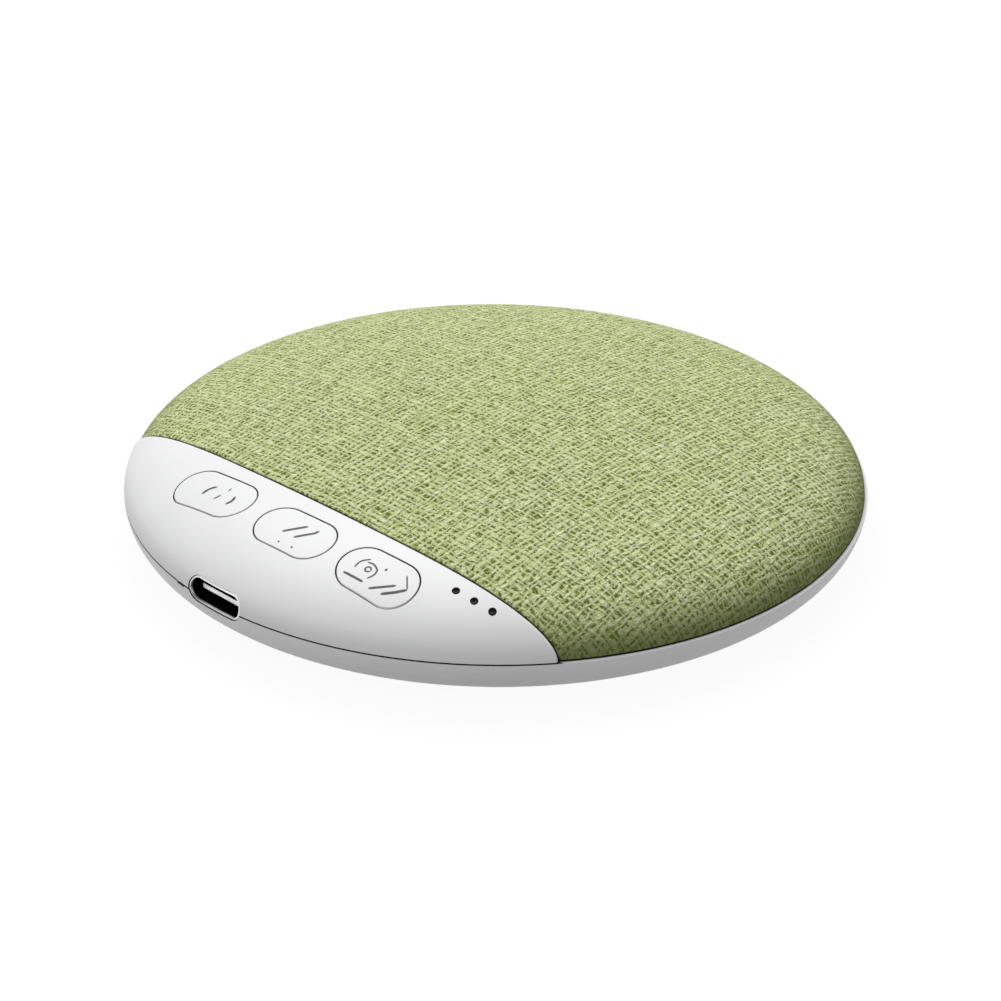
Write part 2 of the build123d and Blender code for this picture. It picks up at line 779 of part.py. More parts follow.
def speaker_mesh():
    """Non-woven dust screen on the ledge over the speaker."""
    bottom = seat_z + mesh_lift
    return post((0, speaker_y), mesh_diameter, bottom, bottom + mesh_thickness)


def magnet_pad():
    """Foam disc between the yoke and the base."""
    return post((0, speaker_y), magnet_pad_diameter, floor_z, floor_z + magnet_pad_thickness)


def terminal_spot():
    """Where the speaker's solder tags stand, on the flange's edge."""
    angle = radians(terminal_angle)
    reach = speaker_diameter / 2 + terminal_size[1] / 2
    return reach * cos(angle), speaker_y + reach * sin(angle)


def speaker_terminals():
    """Small tag board riveted to the edge of the flange."""
    x, y = terminal_spot()
    bottom = flange_top - flange_thickness
    tags = Pos(x, y, bottom) * Rot(0, 0, terminal_angle + 90) * Box(*terminal_size, align=standing)
    return tags - post((0, speaker_y), speaker_diameter, bottom, flange_top)


def lead(points):
    """Insulated wire along straight runs joined by arcs as large as the runs allow."""
    radii = []
    for before, here, after in zip(points, points[1:], points[2:]):
        first = Vector(*here) - Vector(*before)
        second = Vector(*after) - Vector(*here)
        turn = radians(first.get_angle(second))
        radii.append(bend_share * min(first.length, second.length) / tan(turn / 2))
    path = FilletPolyline(*points, radius=radii)
    start = Plane(origin=path @ 0, z_dir=path % 0)
    return sweep(start * Circle(lead_diameter / 2), path=path)


def battery_leads():
    """Pair of wires from the pouch's end to the board."""
    x, ahead, length, width, height = battery_socket
    socket_y = board_chord_y - ahead + width / 2
    tab_z = floor_z + battery_pad_thickness + battery_size[2] * battery_tab_share
    wires = []
    for side in (-1, 1):
        across = side * lead_pitch / 2
        wires.append(
            lead(
                [
                    (-battery_size[0] / 2, battery_y - across, tab_z),
                    (x + across, battery_y - across, tab_z),
                    (x + across, socket_y, board_top + height / 2),
                ]
            )
        )
    return Compound(children=wires)


def speaker_leads():
    """Pair of wires from the speaker's tags over the battery to the board."""
    x, ahead, length, width, height = speaker_socket
    socket_y = board_chord_y - ahead + width / 2
    tag_x, tag_y = terminal_spot()
    start_y = tag_y - tag_overlap
    lying = flange_top + lead_diameter / 2
    lifted = lying + first_bend_lift
    wires = []
    for side in (-1, 1):
        across = side * lead_pitch / 2
        first_x = tag_x + first_bend[0] + across
        last_x = x - last_bend[0] + across
        wires.append(
            lead(
                [
                    (tag_x + across, start_y, lying),
                    (first_x, start_y - first_bend[1] + across, lifted),
                    (last_x, socket_y + last_bend[1] + across, lying),
                    (x + across, socket_y, board_top + height / 2),
                ]
            )
        )
    return Compound(children=wires)


nodes = {
    "base_shell": base_shell,
    "upper_housing": upper_housing,
    "grille_carrier": grille_carrier,
    "fabric_cover": fabric_cover,
    "tact_switches": tact_switches,
    "light_guide": light_guide,
    "status_leds": status_leds,
    "main_board": main_board,
    "chip_capacitors": chip_capacitors,
    "usb_shell": usb_shell,
    "usb_tongue": usb_tongue,
    "case_screws": case_screws,
    "board_screws": board_screws,
    "speaker_screws": speaker_screws,
    "rubber_feet": rubber_feet,
    "battery_cell": battery_cell,
    "battery_pad": battery_pad,
    "battery_leads": battery_leads,
    "speaker_frame": speaker_frame,
    "speaker_yoke": speaker_yoke,
    "speaker_magnet": speaker_magnet,
    "speaker_top_plate": speaker_top_plate,
    "voice_coil": voice_coil,
    "speaker_cone": speaker_cone,
    "dust_cap": dust_cap,
    "speaker_surround": speaker_surround,
    "speaker_gasket": speaker_gasket,
    "speaker_mesh": speaker_mesh,
    "speaker_terminals": speaker_terminals,
    "speaker_leads": speaker_leads,
    "magnet_pad": magnet_pad,
}
shapes = {name: make() for name, make in nodes.items()}
for name in key_spots:
    shapes[name + "_button"] = key(name)
    shapes[name + "_plunger"] = plunger(name)
shapes["processor_chip"] = chip(processor)
shapes["memory_chip"] = chip(memory)
shapes["amplifier_chip"] = chip(amplifier)
shapes["power_inductor"] = chip(inductor)
shapes["battery_connector"] = lead_socket(battery_socket)
shapes["speaker_connector"] = lead_socket(speaker_socket)

os.makedirs("parts", exist_ok=True)
for name, shape in shapes.items():
    export_step(shape, "parts/" + name + ".step")
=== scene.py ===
import math

import bpy
import numpy as np
from mathutils import Matrix, Vector
from mathutils.bvhtree import BVHTree


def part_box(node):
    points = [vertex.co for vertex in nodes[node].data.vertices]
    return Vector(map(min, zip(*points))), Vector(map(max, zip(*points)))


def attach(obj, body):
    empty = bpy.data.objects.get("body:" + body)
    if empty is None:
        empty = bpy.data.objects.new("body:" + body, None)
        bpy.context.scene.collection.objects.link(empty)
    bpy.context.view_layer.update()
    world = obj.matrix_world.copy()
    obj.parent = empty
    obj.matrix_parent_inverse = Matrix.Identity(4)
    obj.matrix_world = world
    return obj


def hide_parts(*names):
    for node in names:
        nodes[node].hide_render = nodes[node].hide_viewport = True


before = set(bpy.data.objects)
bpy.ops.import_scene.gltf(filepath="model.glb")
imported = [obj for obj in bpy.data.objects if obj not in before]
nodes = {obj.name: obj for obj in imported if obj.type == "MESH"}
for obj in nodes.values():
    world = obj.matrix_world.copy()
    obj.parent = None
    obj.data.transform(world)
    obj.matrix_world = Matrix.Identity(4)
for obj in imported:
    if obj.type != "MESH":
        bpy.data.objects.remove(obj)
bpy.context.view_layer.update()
mm = 0.001

# Camera. A short telephoto a quarter of a metre away, 27 degrees above the table and 43 degrees
# round from the control panel. It looks almost at the case's middle, at the parting line.
parting_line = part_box("base_shell")[1].z
camera_azimuth = math.radians(42.60)
camera_elevation = math.radians(27.14)
camera_distance = 251.86 * mm
camera_lens = 69.18
camera_sensor = 36.0
camera_near = 10 * mm
camera_pan = -0.0023
camera_tilt = -0.0183
camera_roll = -0.0073


def place_camera():
    """Aims at the case's middle, then turns the camera a little about its own axes."""
    out = Vector((
        math.sin(camera_azimuth) * math.cos(camera_elevation),
        -math.cos(camera_azimuth) * math.cos(camera_elevation),
        math.sin(camera_elevation),
    ))
    spot = Vector((0, 0, parting_line)) + out * camera_distance
    ahead = -out
    right = Vector((math.cos(camera_azimuth), math.sin(camera_azimuth), 0))
    up = right.cross(ahead)
    pan = Matrix.Rotation(camera_pan, 3, up)
    ahead, right = pan @ ahead, pan @ right
    tilt = Matrix.Rotation(camera_tilt, 3, right)
    ahead, up = tilt @ ahead, tilt @ up
    roll = Matrix.Rotation(camera_roll, 3, ahead)
    right, up = roll @ right, roll @ up
    turn = Matrix((right, up, -ahead)).transposed()
    lens = bpy.data.cameras.new("camera")
    lens.lens = camera_lens
    lens.sensor_width = camera_sensor
    lens.sensor_fit = "HORIZONTAL"
    lens.clip_start = camera_near
    camera = bpy.data.objects.new("camera", lens)
    camera.matrix_world = Matrix.Translation(spot) @ turn.to_4x4()
    bpy.context.scene.collection.objects.link(camera)
    bpy.context.scene.camera = camera


place_camera()
bpy.context.scene.view_settings.view_transform = "Standard"


# Table. A wide pale top that shows white and keeps a faint shadow of the object. A Finish is one
# material in the making, and a Wire is one output in it, on which arithmetic adds Math nodes.
class Wire:
    """One output of a finish's node tree."""

    def __init__(self, finish, socket):
        self.finish = finish
        self.socket = socket

    def math(self, operation, *values):
        return self.finish.node("ShaderNodeMath", {"operation": operation}, dict(enumerate(values)))

    def __add__(self, other):
        return self.math("ADD", self, other)

    def __sub__(self, other):
        return self.math("SUBTRACT", self, other)

    def __rsub__(self, other):
        return self.math("SUBTRACT", other, self)

    def __mul__(self, other):
        return self.math("MULTIPLY", self, other)

    def __truediv__(self, other):
        return self.math("DIVIDE", self, other)

    def __pow__(self, other):
        return self.math("POWER", self, other)

    __radd__ = __add__
    __rmul__ = __mul__

    def sine(self):
        return self.math("SINE", self)

    def size(self):
        return self.math("ABSOLUTE", self)

    def part(self):
        """What is left of a number after its whole part."""
        return self.math("FRACT", self)

    def larger(self, other):
        return self.math("MAXIMUM", self, other)

    def smaller(self, other):
        return self.math("MINIMUM", self, other)

    def above(self, level):
        return self.math("GREATER_THAN", self, level)

    def ease(self, low, high):
        """Rises from 0 to 1 between two levels."""
        sockets = {"Value": self, "From Min": low, "From Max": high}
        return self.finish.node("ShaderNodeMapRange", {"interpolation_type": "SMOOTHSTEP"}, sockets)


class Finish:
    """A material in the making, with its constants set on the shader's own sockets."""

    def __init__(self, name, **constants):
        self.material = bpy.data.materials.new(name)
        self.material.use_nodes = True
        self.tree = self.material.node_tree
        self.shader = self.tree.nodes["Principled BSDF"]
        for socket, value in constants.items():
            self.shader.inputs[socket.replace("_", " ")].default_value = value

    def node(self, kind, settings, sockets, output=0):
        """Adds one node with its settings and inputs, and returns one of its outputs."""
        made = self.tree.nodes.new(kind)
        for name, value in settings.items():
            setattr(made, name, value)
        for name, value in sockets.items():
            if isinstance(value, Wire):
                self.tree.links.new(value.socket, made.inputs[name])
            else:
                made.inputs[name].default_value = value
        return Wire(self, made.outputs[output])

    def feed(self, socket, wire):
        self.tree.links.new(wire.socket, self.shader.inputs[socket])

    def place(self):
        """The object's own coordinates, in millimetres."""
        spot = self.node("ShaderNodeTexCoord", {}, {}, "Object")
        return self.node("ShaderNodeVectorMath", {"operation": "SCALE"}, {0: spot, "Scale": 1 / mm})

    def along(self, vector):
        """The three numbers in a vector."""
        split = self.node("ShaderNodeSeparateXYZ", {}, {"Vector": vector})
        return [Wire(self, output) for output in split.socket.node.outputs]

    def noise(self, place, scale, detail=2.0, roughness=0.5):
        """Cloudy noise, as fine as the scale says per millimetre on each axis."""
        if isinstance(scale, tuple):
            spread = {0: place, 1: scale}
            place = self.node("ShaderNodeVectorMath", {"operation": "MULTIPLY"}, spread)
            scale = 1.0
        sockets = {"Vector": place, "Scale": scale, "Detail": detail, "Roughness": roughness}
        return self.node("ShaderNodeTexNoise", {}, sockets)

    def blend(self, factor, low, high):
        """Colour between two others."""
        ends = [(*end, 1) if isinstance(end, tuple) else end for end in (low, high)]
        sockets = {"Factor": factor, 6: ends[0], 7: ends[1]}
        return self.node("ShaderNodeMix", {"data_type": "RGBA"}, sockets, 2)

    def bump(self, height, distance, strength=1.0):
        sockets = {"Height": height, "Distance": distance, "Strength": strength}
        self.feed("Normal", self.node("ShaderNodeBump", {}, sockets))

    def on(self, *names):
        """Puts the finish on CAD nodes."""
        for name in names:
            nodes[name].data.materials.clear()
            nodes[name].data.materials.append(self.material)


table_reach = 4.0
table_tone = 0.44
shadow_share = 0.06
table_drop = 0.02 * mm


def make_table():
    """The top lies a hair below the feet, so that no two faces share a plane."""
    sides = ((-1, -1), (1, -1), (1, 1), (-1, 1))
    corners = [(x * table_reach, y * table_reach, -table_drop) for x, y in sides]
    mesh = bpy.data.meshes.new("table_top")
    mesh.from_pydata(corners, [], [(0, 1, 2, 3)])
    table = bpy.data.objects.new("table_top", mesh)
    bpy.context.scene.collection.objects.link(table)
    pale = Finish("pale_table", Roughness=0.9)
    rays = [pale.node("ShaderNodeLightPath", {}, {}, "Is " + ray + " Ray")
            for ray in ("Camera", "Glossy", "Transmission")]
    seen = (rays[0] + rays[1] + rays[2]).smaller(1.0)
    pale.feed("Base Color", pale.blend(seen, (table_tone,) * 3, (1.0, 1.0, 1.0)))
    white = pale.node("ShaderNodeEmission", {}, {"Color": (1, 1, 1, 1), "Strength": 1.0})
    board = Wire(pale, pale.shader.outputs[0])
    sockets = {0: seen * (1 - shadow_share), 1: board, 2: white}
    shown = pale.node("ShaderNodeMixShader", {}, sockets)
    out = pale.tree.nodes["Material Output"]
    pale.tree.links.new(shown.socket, out.inputs["Surface"])
    mesh.materials.append(pale.material)


make_table()

# Light. One broad window high up behind the case, as the camera sees it, a weak one to the
# camera's left, and a pale room all round that looks white but gives only part of the light.
room_level = 0.40
window_spot = (-0.235, 0.19, 0.595)
window_size = 0.55
window_power = 3.65
side_window_spot = (-0.20, -0.50, 0.45)
side_window_size = 0.40
side_window_power = 0.55


def make_room():
    """White to the camera and in reflections, and only the room's level as light."""
    world = bpy.data.worlds.new("room")
    bpy.context.scene.world = world
    world.use_nodes = True
    tree = world.node_tree
    paths = tree.nodes.new("ShaderNodeLightPath")
    seen = paths.outputs["Is Camera Ray"]
    for ray in ("Glossy", "Transmission"):
        either = tree.nodes.new("ShaderNodeMath")
        either.operation = "MAXIMUM"
        tree.links.new(seen, either.inputs[0])
        tree.links.new(paths.outputs["Is " + ray + " Ray"], either.inputs[1])
        seen = either.outputs[0]
    level = tree.nodes.new("ShaderNodeMix")
    level.inputs[2].default_value = room_level
    level.inputs[3].default_value = 1.0
    tree.links.new(seen, level.inputs["Factor"])
    back = tree.nodes["Background"]
    back.inputs["Color"].default_value = (1, 1, 1, 1)
    tree.links.new(level.outputs[0], back.inputs["Strength"])


def soft_light(name, spot, size, power):
    """Hangs a round soft light that faces the case's middle."""
    lamp = bpy.data.lights.new(name, "AREA")
    lamp.shape = "DISK"
    lamp.size = size
    lamp.energy = power
    light = bpy.data.objects.new(name, lamp)
    light.location = spot
    light.rotation_euler = Vector(spot).to_track_quat("Z", "Y").to_euler()
    bpy.context.scene.collection.objects.link(light)


make_room()
soft_light("window_above", window_spot, window_size, window_power)
soft_light("window_beside", side_window_spot, side_window_size, side_window_power)

# Base and top housing. Both are injection-moulded ABS in a cool white, spark-eroded to a fine
# satin. A tongue locates them along the parting line, and four screws from below hold them.
shell_white = (0.800, 0.803, 0.806)
shell_shade = (0.775, 0.778, 0.786)
# Near-black colour of painted shade, for the shadow line, the pry slot and the openings.
gap_painted_shade = (0.030, 0.029, 0.030)
spark_grain = 7.0
spark_depth = 0.008 * mm
case_radius = 48.0
shoulder_curve = 0.168
underside_curve = 0.104
groove_height = 0.2
slot_turn = math.radians(-97.4)
slot_half = 0.8
slot_height = 0.25
mouth_half = 4.9
mouth_rise = 2.0
mouth_middle = 0.7
mouth_ahead = 5.0
edge_radius = 3.05 * 96.0
edge_gap = 0.15
edge_spread = (edge_radius - edge_gap) * mm
edge_front = -32.35 * mm
edge_centre = edge_front + edge_radius * mm
cloth_step = 0.4
key_zone = 44.8


def moulded_white(name):
    """White satin plastic, and its base colour before any painted shade in the joints."""
    plastic = Finish(name, Roughness=0.42, IOR=1.45)
    place = plastic.place()
    flow = plastic.noise(place, 0.06, 3.0)
    grain = plastic.noise(place, spark_grain, 2.0)
    plastic.feed("Roughness", grain * 0.12 + flow * 0.08 + 0.34)
    plastic.bump(grain, spark_depth, 0.6)
    return plastic, plastic.blend(flow.ease(0.3, 0.7), shell_shade, shell_white)


def depth_inside(x, y, z):
    """Distance in from the surface of the case, near its parting line, in millimetres."""
    rise = (z - parting_line / mm).larger(0.0)
    fall = (parting_line / mm - z).larger(0.0)
    surface = case_radius - rise * rise * shoulder_curve - fall * fall * underside_curve
    return surface - (x * x + y * y) ** 0.5


def case_white():
    """Satin white, with shade painted near black into the shadow line, the pry slot and the
    openings.
    """
    plastic, white = moulded_white("case_white")
    x, y, z = plastic.along(plastic.place())
    inside = depth_inside(x, y, z)
    above_seam = z - parting_line / mm
    off_axis = y - edge_centre / mm
    under_cloth = (edge_spread / mm - (x * x + off_axis * off_axis) ** 0.5).above(0.0)
    groove = (above_seam - groove_height / 2).size()
    groove = groove.ease(groove_height * 0.62, groove_height * 0.55)
    groove = groove * (inside - under_cloth * cloth_step).ease(0.0, 0.06)
    along_rim = x * -math.sin(slot_turn) + y * math.cos(slot_turn)
    slot = along_rim.size().ease(slot_half + 0.05, slot_half) * (y * -1).above(0.0)
    below_seam = (above_seam + slot_height / 2).size()
    slot = slot * below_seam.ease(slot_height * 0.9, slot_height * 0.8)
    mouth = x.size().ease(mouth_half, mouth_half - 0.1) * (y * -1).above(mouth_ahead)
    mouth = mouth * (above_seam - mouth_middle).size().ease(mouth_rise + 0.1, mouth_rise)
    facing = plastic.along(plastic.node("ShaderNodeNewGeometry", {}, {}, "Normal"))
    radius = (x * x + y * y) ** 0.5
    outward = (facing[0] * x + facing[1] * y) / radius
    mouth = mouth * outward.ease(0.55, 0.30)
    key_wall = facing[2].size().ease(0.62, 0.40) * radius.ease(key_zone, key_zone - 0.5)
    # Painted shade: the parting-line groove, the pry slot, the port opening's walls and the key
    # openings' walls are darkened where shade falls.
    painted_shade_mask = (groove + slot * inside.ease(0.06, 0.22) + mouth + key_wall).smaller(1.0)
    plastic.feed("Base Color", plastic.blend(painted_shade_mask, white, gap_painted_shade))
    return plastic


case_white().on("base_shell", "upper_housing")

# Feet. Four discs punched from grey rubber sheet, tacky and so a little dusty. They are stuck
# into round pockets in the base, where they hide the case screws.
rubber_grey = (0.085, 0.085, 0.088)
rubber_dust = (0.150, 0.148, 0.142)


def foot_rubber():
    rubber = Finish("grey_rubber", Roughness=0.8, Specular_IOR_Level=0.35)
    place = rubber.place()
    speckle = rubber.noise(place, 4.0, 3.0, 0.7)
    wear = rubber.noise(place, 0.35, 3.0)
    rubber.feed("Base Color", rubber.blend(wear.ease(0.4, 0.75), rubber_grey, rubber_dust))
    rubber.feed("Roughness", speckle * 0.3 + 0.6)
    rubber.bump(speckle, 0.03 * mm, 0.8)
    return rubber


foot_rubber().on("rubber_feet")


# Screws. Self-tapping pan heads in bright zinc-plated steel, rolled and then plated. Four hold
# the case together, three the board and three the speaker.
zinc = (0.58, 0.585, 0.60)
zinc_dull = (0.44, 0.44, 0.45)


def plated(name, bright, dull, roughness=0.26):
    """Plated steel with cloudy patches and fine scratches."""
    steel = Finish(name, Metallic=1.0, Roughness=roughness)
    place = steel.place()
    cloud = steel.noise(place, 0.8, 3.0, 0.6)
    scratch = steel.noise(place, (9.0, 1.2, 9.0), 3.0)
    steel.feed("Base Color", steel.blend(cloud.ease(0.35, 0.7), bright, dull))
    steel.feed("Roughness", scratch * 0.25 + roughness - 0.08)
    steel.bump(scratch, 0.006 * mm, 0.5)
    return steel


plated("zinc_plate", zinc, zinc_dull).on("case_screws", "board_screws", "speaker_screws")

# Circuit board. Glass-epoxy laminate under green solder mask, with copper tracks that show
# through it as lighter lines, and a bare straw-coloured edge where it was routed.
mask_green = (0.006, 0.085, 0.030)
mask_over_copper = (0.014, 0.150, 0.052)
laminate_edge = (0.46, 0.42, 0.24)
track_pitch = 0.9


def solder_mask(name):
    board = Finish(name, Roughness=0.32, Coat_Weight=0.35, Coat_Roughness=0.12)
    place = board.place()
    x, y, z = board.along(place)
    block = board.node(
        "ShaderNodeTexVoronoi",
        {"distance": "CHEBYCHEV"},
        {"Vector": place, "Scale": 0.16, "Randomness": 0.8},
        "Color",
    )
    turned = board.along(block)[0].above(0.5)
    lane = (x * turned + y * (1 - turned)) / track_pitch
    track = ((lane.part() - 0.5).size()).ease(0.22, 0.17)
    pour = board.noise(place, 0.16, 1.0).ease(0.56, 0.57)
    copper = track.larger(pour)
    upright = board.node("ShaderNodeNewGeometry", {}, {}, "Normal")
    level = board.along(upright)[2].size().ease(0.4, 0.6)
    face = board.blend(copper, mask_green, mask_over_copper)
    board.feed("Base Color", board.blend(level, laminate_edge, face))
    board.feed("Roughness", 0.62 - level * 0.32)
    board.bump(copper * level, 0.035 * mm, 0.7)
    return board


solder_mask("green_solder_mask").on("main_board")
solder_mask("tag_board_mask").on("speaker_terminals")

# Chips and coil on the board. Black epoxy mouldings with a matt top, a shallow ejector dimple
# and a pin-one dot near one corner; the power inductor is the same with a pressed ferrite body.
epoxy_black = (0.018, 0.018, 0.020)
epoxy_grey = (0.042, 0.042, 0.044)
dot_radius = 0.35


def epoxy(name):
    low, high = (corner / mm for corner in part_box(name))
    package = Finish(name + "_epoxy", Roughness=0.55)
    place = package.place()
    x, y, z = package.along(place)
    grain = package.noise(place, 6.0, 3.0, 0.7)
    dot_x, dot_y = low.x + 3 * dot_radius, high.y - 3 * dot_radius
    away = ((x - dot_x) * (x - dot_x) + (y - dot_y) * (y - dot_y)) ** 0.5
    dot = away.ease(dot_radius, dot_radius * 0.8) * z.above(high.z - 0.05)
    package.feed("Base Color", package.blend(grain.ease(0.4, 0.8), epoxy_black, epoxy_grey))
    package.feed("Roughness", grain * 0.25 + 0.42 - dot * 0.25)
    package.bump(grain * 0.2 - dot, 0.06 * mm, 0.8)
    return package


for chip_name in ("processor_chip", "memory_chip", "amplifier_chip", "power_inductor"):
    epoxy(chip_name).on(chip_name)

# Chip capacitors. Brown ceramic blocks, sintered in layers, with tinned ends that are soldered
# to the board beside the chips.
ceramic_brown = (0.27, 0.16, 0.085)
ceramic_light = (0.33, 0.21, 0.12)
tinned_end = (0.62, 0.62, 0.60)
end_length = 0.35
capacitor_length = 1.6
capacitor_pitch = 2.4


def ceramic():
    sintered = Finish("sintered_ceramic", Roughness=0.45)
    place = sintered.place()
    x, y, z = sintered.along(place)
    across = ((x / capacitor_pitch).part() - 0.5).size() * capacitor_pitch
    end_start = capacitor_length / 2 - end_length
    ends = across.ease(end_start, end_start + 0.05)
    grain = sintered.noise(place, 8.0, 2.0)
    body = sintered.blend(grain, ceramic_brown, ceramic_light)
    sintered.feed("Base Color", sintered.blend(ends, body, tinned_end))
    sintered.feed("Metallic", ends)
    sintered.feed("Roughness", grain * 0.2 + 0.35 - ends * 0.1)
    sintered.bump(ends * 0.5 + grain * 0.1, 0.05 * mm, 0.7)
    return sintered


ceramic().on("chip_capacitors")


# Connectors and switches. The wire headers are ivory nylon; the tact switches are black nylon
# cups with red plungers, and all show the faint streaks of small fast mouldings.
def moulded(name, colour, streak, roughness=0.5):
    """Small moulding with flow streaks and a fine grain."""
    plastic = Finish(name, Roughness=roughness)
    place = plastic.place()
    flow = plastic.noise(place, (0.5, 2.2, 0.5), 3.0)
    grain = plastic.noise(place, 9.0, 2.0)
    plastic.feed("Base Color", plastic.blend(flow.ease(0.3, 0.7), colour, streak))
    plastic.feed("Roughness", grain * 0.2 + roughness - 0.1)
    plastic.bump(grain, 0.012 * mm, 0.6)
    return plastic


ivory_nylon = moulded("ivory_nylon", (0.72, 0.66, 0.52), (0.78, 0.73, 0.60))
ivory_nylon.on("battery_connector", "speaker_connector")
black_nylon = moulded("black_nylon", (0.020, 0.020, 0.021), (0.034, 0.034, 0.036))
black_nylon.on("tact_switches")
red_nylon = moulded("red_nylon", (0.42, 0.028, 0.020), (0.50, 0.045, 0.032))
red_nylon.on("power_plunger", "play_plunger", "timer_plunger")

# Indicator lamps. Small white plastic packages, each with a window of yellow phosphor on top,
# soldered to the board under the light guide.
lamp_body = (0.80, 0.80, 0.76)
phosphor = (0.78, 0.60, 0.12)


def lamp_package():
    package = Finish("lamp_package", Roughness=0.35)
    place = package.place()
    x, y, z = package.along(place)
    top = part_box("status_leds")[1].z / mm
    cloud = package.noise(place, 3.0, 2.0)
    window = z.above(top - 0.02) * cloud.ease(0.30, 0.42)
    package.feed("Base Color", package.blend(window, lamp_body, phosphor))
    package.feed("Roughness", 0.4 - window * 0.15 + cloud * 0.05)
    return package


lamp_package().on("status_leds")

# Light guide. One smoked polycarbonate moulding that stands on the board and fills the three
# small holes from below, polished at its tips and dark while the lamps are off.
smoked = (0.003, 0.003, 0.003)
smoked_haze = (0.007, 0.007, 0.008)


def smoked_clear():
    guide = Finish("smoked_polycarbonate", Roughness=0.5, Specular_IOR_Level=0.12)
    place = guide.place()
    haze = guide.noise(place, 1.2, 3.0)
    guide.feed("Base Color", guide.blend(haze, smoked, smoked_haze))
    guide.feed("Roughness", haze * 0.15 + 0.45)
    guide.bump(haze, 0.01 * mm, 0.5)
    return guide


smoked_clear().on("light_guide")

# Charging port. A drawn stainless shell, brushed along its length and bright at the mouth, with
# shade painted near black on it further in, round a black moulded blade whose nose is worn pale.
port_steel = (0.86, 0.86, 0.87)
port_steel_brushed = (0.76, 0.76, 0.77)
port_inside_painted_shade = (0.004, 0.004, 0.004)
lip_depth = 0.30
blade_black = (0.005, 0.005, 0.005)
blade_grain = (0.009, 0.009, 0.010)
blade_nose = (0.95, 0.95, 0.95)
contact_gold = (0.72, 0.50, 0.20)
contact_pitch = 0.5
contact_start = 0.5
contact_end = 3.6


def drawn_steel():
    steel = Finish("drawn_steel", Metallic=1.0, Roughness=0.28)
    place = steel.place()
    x, y, z = steel.along(place)
    brushed = steel.noise(place, (7.0, 0.5, 7.0), 3.0)
    depth = depth_inside(x, y, z).ease(lip_depth, lip_depth + 0.15)
    lip = steel.blend(brushed, port_steel, port_steel_brushed)
    # Painted shade: beyond lip_depth inside the case the steel turns near black, as the port's
    # inside lies in shade.
    steel.feed("Base Color", steel.blend(depth, lip, port_inside_painted_shade))
    steel.feed("Metallic", 0.75 + depth * 0.25)
    steel.feed("Roughness", brushed * 0.2 + depth * 0.25 + 0.22)
    steel.bump(brushed, 0.008 * mm, 0.5)
    return steel


def contact_blade():
    blade = Finish("contact_blade", Roughness=0.4, Specular_IOR_Level=0.15)
    place = blade.place()
    x, y, z = blade.along(place)
    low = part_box("usb_tongue")[0] / mm
    grain = blade.noise(place, 6.0, 2.0)
    nose = y.ease(low.y + 0.10, low.y + 0.02)
    gold = ((x / contact_pitch).part() - 0.5).size().ease(0.26, 0.20)
    gold = gold * y.ease(low.y + contact_start, low.y + contact_start + 0.1)
    gold = gold * y.ease(low.y + contact_end, low.y + contact_end - 0.1)
    body = blade.blend(grain, blade_black, blade_grain)
    blade.feed("Base Color", blade.blend(gold, blade.blend(nose, body, blade_nose), contact_gold))
    blade.feed("Metallic", gold.larger(nose * 0.9))
    blade.feed("Roughness", 0.35 + grain * 0.2 - gold * 0.15)
    blade.bump(grain * 0.2 - gold * 0.4, 0.05 * mm, 0.7)
    return blade


drawn_steel().on("usb_shell")
contact_blade().on("usb_tongue")

# Battery. A lithium pouch in aluminium laminate, slightly puckered, with amber tape over the
# end where its tabs come out; black foam tape holds it to the base.
foil = (0.60, 0.61, 0.63)
foil_shade = (0.47, 0.48, 0.50)
amber_tape = (0.50, 0.26, 0.045)
tape_width = 3.2


def laminate_foil():
    pouch = Finish("aluminium_laminate", Roughness=0.36)
    place = pouch.place()
    x, y, z = pouch.along(place)
    pucker = pouch.noise(place, 0.35, 3.0, 0.6)
    crease = pouch.noise(place, (0.4, 1.6, 1.6), 3.0, 0.6)
    tape_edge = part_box("battery_cell")[0].x / mm + tape_width
    tape = x.ease(tape_edge + 0.05, tape_edge)
    metal = pouch.blend(pucker.ease(0.35, 0.7), foil, foil_shade)
    pouch.feed("Base Color", pouch.blend(tape, metal, amber_tape))
    pouch.feed("Metallic", 0.85 - tape * 0.8)
    pouch.feed("Roughness", crease * 0.25 + 0.24)
    pouch.bump(pucker + crease * 0.4 + tape * 0.15, 0.25 * mm, 0.6)
    return pouch


def open_foam(name, colour, light):
    """Open-cell foam, its cut cells a little lighter at their rims."""
    foam = Finish(name, Roughness=0.95, Specular_IOR_Level=0.2)
    place = foam.place()
    cell = foam.node("ShaderNodeTexVoronoi", {}, {"Vector": place, "Scale": 2.6}, "Distance")
    cloud = foam.noise(place, 0.7, 2.0)
    rims = (cell * 1.3 + cloud * 0.4 - 0.3).smaller(1.0)
    foam.feed("Base Color", foam.blend(rims, colour, light))
    foam.bump(cell, 0.15 * mm, 0.8)
    return foam


laminate_foil().on("battery_cell")
black_foam = open_foam("black_foam", (0.012, 0.012, 0.013), (0.045, 0.045, 0.047))
black_foam.on("battery_pad", "magnet_pad", "speaker_gasket")

# Leads. Stranded copper wire in soft extruded PVC, one black and one red in each pair, laid side
# by side and crimped into the nylon headers.
lead_red = (0.40, 0.018, 0.014)
lead_black = (0.016, 0.016, 0.017)


def lead_cover(name, side_of):
    cover = Finish(name + "_cover", Roughness=0.45)
    place = cover.place()
    x, y, z = cover.along(place)
    sheen = cover.noise(place, 1.5, 3.0)
    cover.feed("Base Color", cover.blend(side_of(x, y), lead_black, lead_red))
    cover.feed("Roughness", sheen * 0.25 + 0.32)
    cover.bump(sheen, 0.02 * mm, 0.6)
    return cover


wire_middle = 1.05
battery_low, battery_high = (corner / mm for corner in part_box("battery_leads"))
speaker_low, speaker_high = (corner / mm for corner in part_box("speaker_leads"))
speaker_runs = (
    (3.2, 1.25), (2.1, 1.3), (2.0, 2.6), (2.0, 3.8), (2.0, 2.8), (2.0, 1.4), (3.2, 1.6),
)


